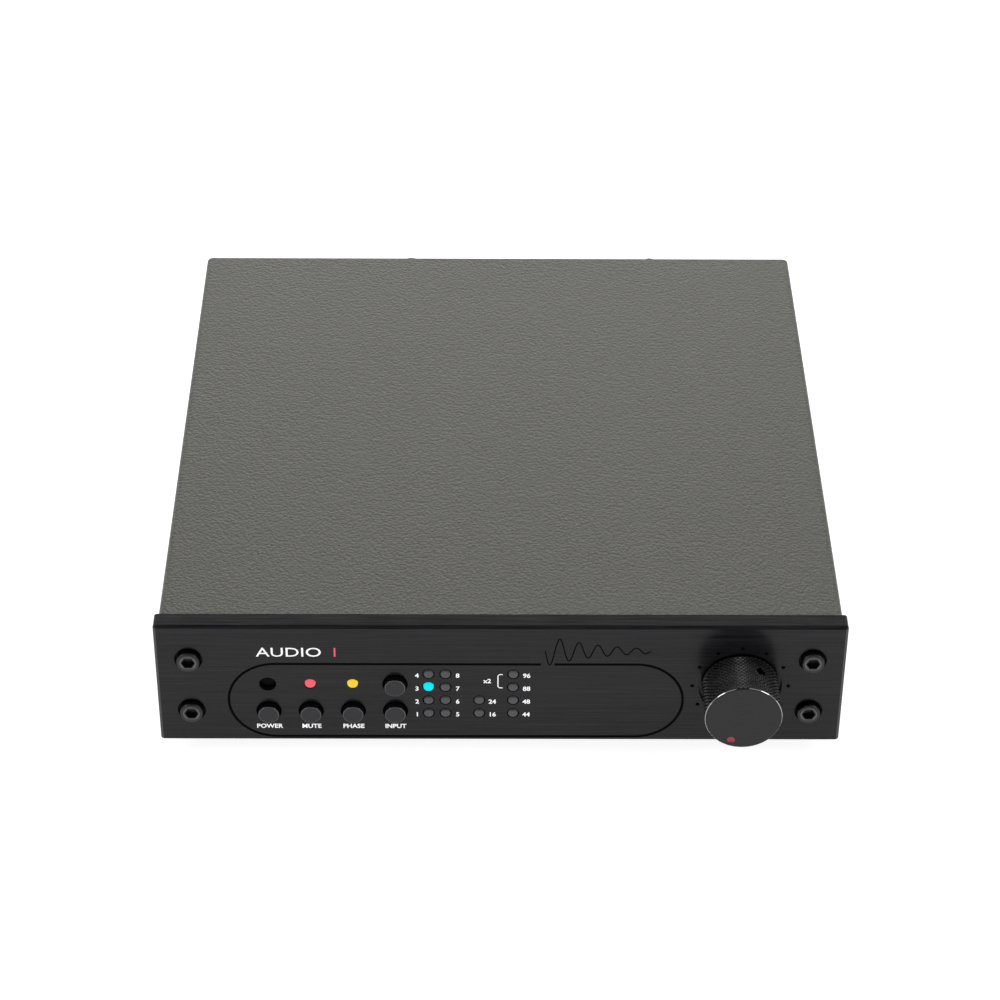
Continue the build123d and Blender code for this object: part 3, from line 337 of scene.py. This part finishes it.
def turned_shell(profile, centre, steps=64):
    """Shell turned about an axis along Y through centre (x, z).

    Profile rows are (radius, y, material index). Returns the work and its last ring.
    """
    work = bmesh.new()
    rings = []
    for radius, y, _ in profile:
        ring = []
        for step in range(steps):
            clock = 2 * math.pi * step / steps
            place = (centre[0] + radius * math.sin(clock), y, centre[1] + radius * math.cos(clock))
            ring.append(work.verts.new(place))
        rings.append(ring)
    for near, far, (_, _, index) in zip(rings, rings[1:], profile):
        for step in range(steps):
            after = (step + 1) % steps
            face = work.faces.new((near[step], near[after], far[after], far[step]))
            face.material_index = index
    return work, rings[-1]


# ---------------------------------------------------------------- knob
KNURLS = 51
STEPS_PER_KNURL = 12
KNURL_ROWS = 120
KNURL_FADE = 0.25 * MM
KNURL_DEPTH = 0.42 * MM
KNURL_SLOPE = math.tan(math.radians(45))
KNOB_BACK = knob_high.y
KNOB_FRONT = knob_low.y
RIM = 0.26 * MM
WELL_CLOCK = math.radians(28)
WELL_Y = FACE_Y - 5.3 * MM
WELL_R = 1.45 * MM
WELL_FLOOR_R = 8.5 * MM
REAR_EDGE = 0.4 * MM
HOLLOW_R = 7.6 * MM
HOLLOW_DEPTH = 3.1 * MM
SHAFT_CLEARANCE_R = 3.0 * MM
DOT_RADIUS = 9.15 * MM
DOT_CLOCK = math.radians(201.6)
DOT_SIZE = 1.15 * MM
DOT_DEPTH = 0.35 * MM
PIP_DEPTH = 0.12 * MM
PIP_R = 0.5 * MM
FACE_RINGS = 46
FACE_STEPS = 256


def knob_point(radius, clock, y):
    """Point round the knob's axis, its angle in radians clockwise from the top."""
    return Vector((KNOB_X + radius * math.sin(clock), y, KNOB_Z + radius * math.cos(clock)))


def ridge(turns):
    """Height between 0 in a groove and 1 on a crest, for a number of pitches."""
    inside = abs((turns % 1.0) - 0.5) * 2
    return min(1.0, 1.25 * (1.0 - inside))


def knurled_barrel():
    """Side of the knob, cut by two crossing sets of helical grooves, with the well of the set screw."""
    around = KNURLS * STEPS_PER_KNURL
    front, back = KNOB_FRONT + RIM * 1.6, KNOB_BACK - REAR_EDGE
    pitch = 2 * math.pi * KNOB_R / KNURLS
    work = bmesh.new()
    rings = []
    for row in range(KNURL_ROWS + 1):
        y = front + (back - front) * row / KNURL_ROWS
        shift = (y - front) * KNURL_SLOPE / pitch
        fade = min(1.0, min(y - front, back - y) / KNURL_FADE)
        ring = []
        for step in range(around):
            turn = step / around * KNURLS
            height = min(ridge(turn + shift), ridge(turn - shift))
            radius = KNOB_R - KNURL_DEPTH * (1 - height) * (0.35 + 0.65 * fade)
            clock = 2 * math.pi * step / around
            if math.hypot((clock - WELL_CLOCK) * KNOB_R, y - WELL_Y) < WELL_R:
                radius = WELL_FLOOR_R
            ring.append(work.verts.new(knob_point(radius, clock, y)))
        rings.append(ring)
    for near, far in zip(rings, rings[1:]):
        for step in range(around):
            after = (step + 1) % around
            work.faces.new((near[step], near[after], far[after], far[step]))
    return from_bmesh("knob_knurl", work)


def knob_rim():
    """Front rim of the knob: a dark groove, a thin polished edge and a dark chamfer."""
    side = KNOB_R - 0.1 * MM
    profile = [
        (KNOB_R - KNURL_DEPTH * 0.5, KNOB_FRONT + RIM * 1.6, 3),
        (side, KNOB_FRONT + RIM * 1.5, 3),
        (side, KNOB_FRONT + RIM * 1.3, 1),
        (KNOB_R - 0.22 * MM, KNOB_FRONT + RIM * 0.53, 3),
        (KNOB_R - RIM - 0.2 * MM, KNOB_FRONT, 0),
    ]
    return turned_shell(profile, (KNOB_X, KNOB_Z), FACE_STEPS)


def knob_face():
    """Front face with its dimple: a disc whose grid dips round the painted dot."""
    work, previous = knob_rim()
    outer = KNOB_R - RIM - 0.2 * MM
    dot_x, dot_z = DOT_RADIUS * math.sin(DOT_CLOCK), DOT_RADIUS * math.cos(DOT_CLOCK)
    for ring in range(1, FACE_RINGS):
        radius = outer * (1 - ring / FACE_RINGS)
        current = []
        for step in range(FACE_STEPS):
            clock = 2 * math.pi * step / FACE_STEPS
            x, z = radius * math.sin(clock), radius * math.cos(clock)
            away = math.hypot(x - dot_x, z - dot_z) / DOT_SIZE
            dimple = DOT_DEPTH * max(0.0, 1 - away * away) ** 0.5
            pip = PIP_DEPTH * max(0.0, 1 - radius / PIP_R)
            current.append(work.verts.new(knob_point(radius, clock, KNOB_FRONT + dimple + pip)))
        for step in range(FACE_STEPS):
            after = (step + 1) % FACE_STEPS
            work.faces.new((previous[step], previous[after], current[after], current[step]))
        previous = current
    work.faces.new(previous)
    for face in work.faces:
        middle = face.calc_center_median()
        away = math.hypot(middle.x - KNOB_X - dot_x, middle.z - KNOB_Z - dot_z)
        if middle.y < KNOB_FRONT + 0.5 * MM and away < DOT_SIZE * 0.98 and face.material_index == 0:
            face.material_index = 2
    return from_bmesh("knob_face", work)


def knob_back():
    """Rear edge and the hollow under the knob."""
    profile = [
        (KNOB_R - 0.1 * MM, KNOB_BACK - REAR_EDGE, 0),
        (KNOB_R - 0.35 * MM, KNOB_BACK, 0),
        (HOLLOW_R, KNOB_BACK, 0),
        (HOLLOW_R, KNOB_BACK - HOLLOW_DEPTH, 0),
        (SHAFT_CLEARANCE_R, KNOB_BACK - HOLLOW_DEPTH, 0),
    ]
    work, _ = turned_shell(profile, (KNOB_X, KNOB_Z), 128)
    return from_bmesh("knob_back", work)


KNURL_COLOUR = (0.0025, 0.0025, 0.0035, 1)
KNURL_BLACK = plastic("knurl_black", KNURL_COLOUR, 0.22, 0.3 * MM, 0.003 * MM, Specular_IOR_Level=0.3)
RIM_BRIGHT = plain_metal("rim_bright", (0.5, 0.5, 0.51, 1), 0.1)
DOT_RED = paint("dot_red", (0.34, 0.008, 0.035, 1), 0.3)

barrel_mesh = knurled_barrel()
smooth(barrel_mesh, 50)
knob_barrel = add("knob_barrel", barrel_mesh, "volume", "knob_black", KNURL_BLACK)
face_mesh = knob_face()
smooth(face_mesh, 25)
knob_paints = (MATERIALS["knob_black"], RIM_BRIGHT, DOT_RED, KNURL_BLACK)
add("knob_front", face_mesh, "volume", "knob_black", *knob_paints)
back_mesh = knob_back()
smooth(back_mesh, 30)
add("knob_rear", back_mesh, "volume", "knob_black", KNURL_BLACK)
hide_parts("volume_knob")


# ---------------------------------------------------------------- button caps and screw heads
# painted shade on the sides of the caps and a painted highlight on their rounded edges
CAP_SIDE_SHADED = plastic("cap_side_shaded", (0.003, 0.003, 0.0035, 1), 0.4, Specular_IOR_Level=0.2)
CAP_EDGE_HIGHLIGHT = plain_metal("cap_edge_highlight", (0.1, 0.1, 0.108, 1), 0.2)
CAP_EDGE_R = 0.24 * MM
CAP_SKIN = 0.04 * MM
BUTTON_R = 3.1 * MM
EDGE_STEPS = 6


def button_cap(node, body):
    """Moulded skin over the front of a button: side painted darker than the face as shade, edge painted
    lighter and metallic as a highlight, and flat face.
    """
    centre = centre_of(node)
    radius = BUTTON_R + CAP_SKIN
    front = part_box(node)[0].y - CAP_SKIN
    profile = [(radius, FACE_Y + 0.6 * MM, 0), (radius, front + CAP_EDGE_R, 1)]
    for step in range(1, EDGE_STEPS):
        turn = math.pi / 2 * step / EDGE_STEPS
        inset, forward = CAP_EDGE_R * (1 - math.cos(turn)), CAP_EDGE_R * (1 - math.sin(turn))
        profile.append((radius - inset, front + forward, 1))
    profile += [(radius - CAP_EDGE_R, front, 2), (radius * 0.6, front, 2), (0.2 * MM, front, 2)]
    work, last = turned_shell(profile, (centre.x, centre.z))
    work.faces.new(last).material_index = 2
    mesh = from_bmesh(f"{node}_cap", work)
    smooth(mesh, 50)
    add(f"{node}_cap", mesh, body, "button_black", CAP_SIDE_SHADED, CAP_EDGE_HIGHLIGHT, MATERIALS["button_black"])


for body in ("power", "mute", "polarity", "input_up", "input_down"):
    button_cap(f"{body}_button", body)


SCREW_FACE = plain_metal("screw_face", (0.04, 0.04, 0.041, 1), 0.34, 0.3 * MM, 0.01 * MM)
# painted highlight: the chamfer round each hexagon is coloured lighter than the rest of the head
SCREW_EDGE_HIGHLIGHT = plain_metal("screw_edge_highlight", (0.12, 0.12, 0.122, 1), 0.26)
SCREW_X = panel_high.x - 10.05 * MM
SCREW_ROWS = (PANEL_Z + 12.35 * MM, PANEL_Z + 32.1 * MM)
HEAD_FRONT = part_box("panel_screws")[0].y


def screw_ring(name, x, z):
    """Face of a socket-head screw: chamfers outside and round the hexagon, with a flat between; the chamfer
    round the hexagon is painted lighter as a highlight.
    """
    profile = [
        (3.32 * MM, HEAD_FRONT + 0.1 * MM, 0),
        (3.28 * MM, HEAD_FRONT - 0.02 * MM, 0),
        (3.08 * MM, HEAD_FRONT - 0.12 * MM, 0),
        (2.5 * MM, HEAD_FRONT - 0.12 * MM, 1),
        (2.1 * MM, HEAD_FRONT + 0.06 * MM, 0),
    ]
    work, _ = turned_shell(profile, (x, z))
    mesh = from_bmesh(name, work)
    smooth(mesh, 20)
    add(name, mesh, "case", "screw_black", SCREW_FACE, SCREW_EDGE_HIGHLIGHT)


for side in (-1, 1):
    for level, row in enumerate(SCREW_ROWS):
        screw_ring(f"screw_ring_{side + 1}_{level}", side * SCREW_X, row)


# ---------------------------------------------------------------- lettering and printed lines
INK = 0.04 * MM
CAPITAL_SHARE = 0.729  # height of a capital as a share of the font's size


def lettering(name, words, x, z, height, ink, from_rear=False, align="CENTER", stretch=1.0, weight=0.055):
    """Printed capitals or numbers; x is their middle or an end, as align says, and z their foot."""
    curve = bpy.data.curves.new(name, "FONT")
    curve.body = words
    curve.align_x = align
    curve.align_y = "BOTTOM_BASELINE"
    curve.size = height / CAPITAL_SHARE
    curve.extrude = INK / 2
    curve.offset = weight * MM
    curve.resolution_u = 3
    draft = bpy.data.objects.new(name, curve)
    scene.collection.objects.link(draft)
    bpy.context.view_layer.update()
    mesh = bpy.data.meshes.new_from_object(draft.evaluated_get(bpy.context.evaluated_depsgraph_get()))
    bpy.data.objects.remove(draft)
    mesh.transform(Matrix.Diagonal((stretch, 1, 1, 1)))
    stand = Matrix.Rotation(math.radians(90), 4, "X")
    if from_rear:
        stand = Matrix.Rotation(math.radians(180), 4, "Z") @ stand
    place = Vector((x, REAR_Y if from_rear else FACE_Y, z))
    mesh.transform(Matrix.Translation(place) @ stand)
    mesh.name = name
    add(name, mesh, "case", "rear_black" if from_rear else "panel_black", ink)


def stroke(name, points, width, ink, y=FACE_Y):
    """Flat printed line through points given as (x, z)."""
    work = bmesh.new()
    half = width / 2
    left, right = [], []
    for index, (x, z) in enumerate(points):
        before = points[max(index - 1, 0)]
        after = points[min(index + 1, len(points) - 1)]
        along = Vector((after[0] - before[0], after[1] - before[1])).normalized()
        side = Vector((-along.y, along.x)) * half
        left.append(work.verts.new((x + side.x, y - INK, z + side.y)))
        right.append(work.verts.new((x - side.x, y - INK, z - side.y)))
    for index in range(len(points) - 1):
        work.faces.new((left[index], left[index + 1], right[index + 1], right[index]))
    mesh = from_bmesh(name, work)
    piece = add(name, mesh, "case", "panel_black", ink)
    thick = piece.modifiers.new("thickness", "SOLIDIFY")
    thick.thickness = INK
    thick.offset = 0


LABEL_Z = PANEL_Z + 5.2 * MM
LABEL_H = 1.66 * MM
for node, words in (
    ("power_button", "POWER"),
    ("mute_button", "MUTE"),
    ("polarity_button", "PHASE"),
    ("input_down_button", "INPUT"),
):
    lettering(f"label_{words.lower()}", words, centre_of(node).x, LABEL_Z, LABEL_H, WHITE_INK_GLOWING)

# numbers beside the small lights
cyan = centre_of("active_light")
LIGHT_PITCH = 5.1 * MM
columns = [cyan.x + LIGHT_PITCH * step for step in (0, 1, 3, 5)]
rows = [cyan.z + LIGHT_PITCH * (level - 2) for level in range(4)]
LEGENDS = (
    (columns[0] - 2.9 * MM, "RIGHT", ("1", "2", "3", "4")),
    (columns[1] + 3.1 * MM, "LEFT", ("5", "6", "7", "8")),
    (columns[2] + 2.8 * MM, "LEFT", ("16", "24", None, None)),
    (columns[3] + 2.9 * MM, "LEFT", ("44", "48", "88", "96")),
)
for number, (x, align, words) in enumerate(LEGENDS):
    for level, word in enumerate(words):
        if word:
            z = rows[level] - 1.35 * MM
            lettering(f"legend_{number}_{level}", word, x, z, LABEL_H, WHITE_INK_GLOWING, align=align)

lettering("label_rate", "x2", columns[2] + 2.4 * MM, rows[2] + 1.65 * MM, LABEL_H, WHITE_INK_GLOWING)
bracket_x = columns[3] - 3.2 * MM
bracket = [
    (bracket_x, rows[3] - 0.1 * MM),
    (bracket_x - 0.9 * MM, rows[3] - 0.1 * MM),
    (bracket_x - 1.4 * MM, rows[3] - 0.6 * MM),
    (bracket_x - 1.4 * MM, rows[2] + 0.3 * MM),
    (bracket_x - 0.9 * MM, rows[2] - 0.2 * MM),
    (bracket_x, rows[2] - 0.2 * MM),
]
stroke("rate_bracket", bracket, 0.32 * MM, WHITE_INK_GLOWING)

TITLE_X = centre_of("power_button").x - 3.1 * MM
TITLE_Z = PANEL_Z + 33.3 * MM
TITLE_H = 3.6 * MM
lettering("title", "AUDIO", TITLE_X, TITLE_Z, TITLE_H, WHITE_INK_GLOWING, align="LEFT", stretch=1.25, weight=0.0)
lettering("title_unit", "1", TITLE_X + 22.3 * MM, TITLE_Z, TITLE_H, RED_INK_GLOWING, align="LEFT", weight=0.02)

# plain numbers and letters beside the sockets of the rear panel
REAR_LABEL_H = 2.1 * MM
UPPER_ROW = 40.0 * MM
LOWER_ROW = 25.0 * MM
TOP_ROW = 42.6 * MM
REAR_LABELS = (
    ("L", 57.5, TOP_ROW),
    ("R", 85.0, TOP_ROW),
    ("1", 29.5, TOP_ROW),
    ("OUT", -5.0, UPPER_ROW),
    ("2", -19.0, UPPER_ROW),
    ("3", -33.0, UPPER_ROW),
    ("4", -33.0, LOWER_ROW),
    ("5", -46.5, UPPER_ROW),
    ("6", -46.5, LOWER_ROW),
    ("7", -60.0, LOWER_ROW),
    ("12V", 8.0, LOWER_ROW),
)
for number, (words, x, z) in enumerate(REAR_LABELS):
    lettering(f"rear_label_{number}", words, x * MM, z, REAR_LABEL_H, WHITE_INK_GLOWING, from_rear=True)

# black strip laid over the engraved loop as painted shade, black discs on its dots, and the printed motif
GROOVE_R = 14.25 * MM
GROOVE_Z = PANEL_Z + 16.15 * MM
GROOVE_ENDS = (-67.8 * MM, 40.87 * MM)
GROOVE_GAP = (12.0 * MM, 16.1 * MM)
GROOVE_W = 0.74 * MM
BLACK_LAYER_Y = FACE_Y - 0.02 * MM


def round_end(middle, first, last):
    """Points on a half circle of the loop, between two clock angles in degrees."""
    clocks = [math.radians(first + (last - first) * step / 36) for step in range(37)]
    return [(middle + GROOVE_R * math.sin(clock), GROOVE_Z + GROOVE_R * math.cos(clock)) for clock in clocks]


loop = [(GROOVE_GAP[1], GROOVE_Z + GROOVE_R)]
loop += round_end(GROOVE_ENDS[1], 0, 180)
loop += round_end(GROOVE_ENDS[0], 180, 360)
loop += [(GROOVE_GAP[0], GROOVE_Z + GROOVE_R)]
stroke("groove_painted_shade", loop, GROOVE_W, BLACK_INK_AND_SHADE, BLACK_LAYER_Y)

SCALE_R = 14.5 * MM
SCALE_DOT_R = 0.62 * MM
SCALE_DOTS = 11
SCALE_START = math.radians(-150)
SCALE_STEP = math.radians(30)
for number in range(SCALE_DOTS):
    clock = SCALE_START + SCALE_STEP * number
    work = bmesh.new()
    bmesh.ops.create_circle(work, cap_ends=True, radius=SCALE_DOT_R, segments=24)
    bmesh.ops.rotate(work, verts=work.verts, matrix=Matrix.Rotation(math.radians(90), 3, "X"))
    centre = knob_point(SCALE_R, clock, BLACK_LAYER_Y)
    bmesh.ops.translate(work, verts=work.verts, vec=centre)
    add(f"scale_dot_{number}", from_bmesh(f"scale_dot_{number}", work), "case", "panel_black", BLACK_INK_AND_SHADE)

WAVE_LEFT = 13.3 * MM
WAVE_LENGTH = 31.5 * MM
WAVE_Z = PANEL_Z + 35.6 * MM
WAVE_SWING = 5.9 * MM
WAVE_TURNS = 5.5
WAVE_DECAY = 1.9
WAVE_STEPS = 180
wave = []
for step in range(WAVE_STEPS + 1):
    along = step / WAVE_STEPS
    swing = math.sin(along * 2 * math.pi * WAVE_TURNS) * math.exp(-WAVE_DECAY * along)
    wave.append((WAVE_LEFT + WAVE_LENGTH * along, WAVE_Z - WAVE_SWING * swing))
stroke("wave_motif", wave, 0.34 * MM, BLACK_INK_AND_SHADE)


# ---------------------------------------------------------------- floor, light and camera
def floor():
    work = bmesh.new()
    reach = 12.0
    corners = [(-reach, -reach), (reach, -reach), (reach, reach), (-reach, reach)]
    work.faces.new([work.verts.new((x, y, 0)) for x, y in corners])
    mesh = from_bmesh("floor", work)
    made = Shader("floor_white", Roughness=0.9, Base_Color=(0.45, 0.45, 0.45, 1), Specular_IOR_Level=0.1)
    made.set(Emission_Color=(1, 1, 1, 1), Emission_Strength=0.88)
    mesh.materials.append(made.material)
    piece = bpy.data.objects.new("floor", mesh)
    scene.collection.objects.link(piece)


def soft_light(name, place, aim, size, power, colour=(1, 1, 1)):
    light = bpy.data.lights.new(name, "AREA")
    light.shape = "RECTANGLE"
    light.size, light.size_y = size
    light.energy = power
    light.color = colour
    lamp = bpy.data.objects.new(name, light)
    lamp.location = place
    lamp.rotation_euler = (Vector(aim) - Vector(place)).to_track_quat("-Z", "Y").to_euler()
    scene.collection.objects.link(lamp)


def dark_card(name, place, aim, size):
    """Unlit card that polished edges and bevels mirror as a dark line."""
    work = bmesh.new()
    bmesh.ops.create_grid(work, x_segments=1, y_segments=1, size=0.5)
    mesh = from_bmesh(name, work)
    made = Shader(name, Roughness=0.9, Base_Color=(0.01, 0.01, 0.01, 1), Specular_IOR_Level=0.0)
    mesh.materials.append(made.material)
    card = bpy.data.objects.new(name, mesh)
    card.scale = (*size, 1)
    card.location = place
    card.rotation_euler = (Vector(aim) - Vector(place)).to_track_quat("-Z", "Y").to_euler()
    scene.collection.objects.link(card)


floor()
soft_light("overhead", (0.0, 0.35, 1.25), (0, 0, 0.02), (0.9, 0.5), 6)
soft_light("left", (-1.2, -0.1, 0.8), (0, 0, 0.02), (1.1, 0.5), 5)
soft_light("right", (1.2, -0.1, 0.8), (0, 0, 0.02), (1.1, 0.5), 5)
soft_light("rear", (0.0, 1.5, 0.56), (0, 0, 0.02), (1.8, 0.45), 12.5, (1.0, 0.99, 0.93))
dark_card("front_card", (0.0, -0.62, 1.25), (0, 0, 0.02), (0.8, 0.9))

world = bpy.data.worlds.new("studio")
world.use_nodes = True
world.node_tree.nodes["Background"].inputs["Color"].default_value = (1, 1, 1, 1)
world.node_tree.nodes["Background"].inputs["Strength"].default_value = 0.5
scene.world = world
scene.view_settings.view_transform = "Standard"


CAMERA_PITCH = math.radians(36.653)
CAMERA_YAW = math.radians(0.582)
CAMERA_ROLL = math.radians(0.473)
CAMERA_LENS = 107.04
CAMERA_PLACE = Vector((-7.59 * MM, FACE_Y - 685.24 * MM, PANEL_Z + 601.7 * MM))


def photo_camera():
    """Camera in front of the panel and above it, looking down, with a long lens."""
    pitch, yaw, roll = CAMERA_PITCH, CAMERA_YAW, CAMERA_ROLL
    forward = Vector((math.sin(yaw) * math.cos(pitch), math.cos(yaw) * math.cos(pitch), -math.sin(pitch)))
    level_right = Vector((math.cos(yaw), -math.sin(yaw), 0))
    level_up = level_right.cross(forward)
    right = math.cos(roll) * level_right + math.sin(roll) * level_up
    up = -math.sin(roll) * level_right + math.cos(roll) * level_up
    data = bpy.data.cameras.new("camera")
    data.sensor_width = 36
    data.lens = CAMERA_LENS
    camera = bpy.data.objects.new("camera", data)
    turn = Matrix((right, up, -forward)).transposed()
    camera.matrix_world = Matrix.Translation(CAMERA_PLACE) @ turn.to_4x4()
    scene.collection.objects.link(camera)
    scene.camera = camera


photo_camera()
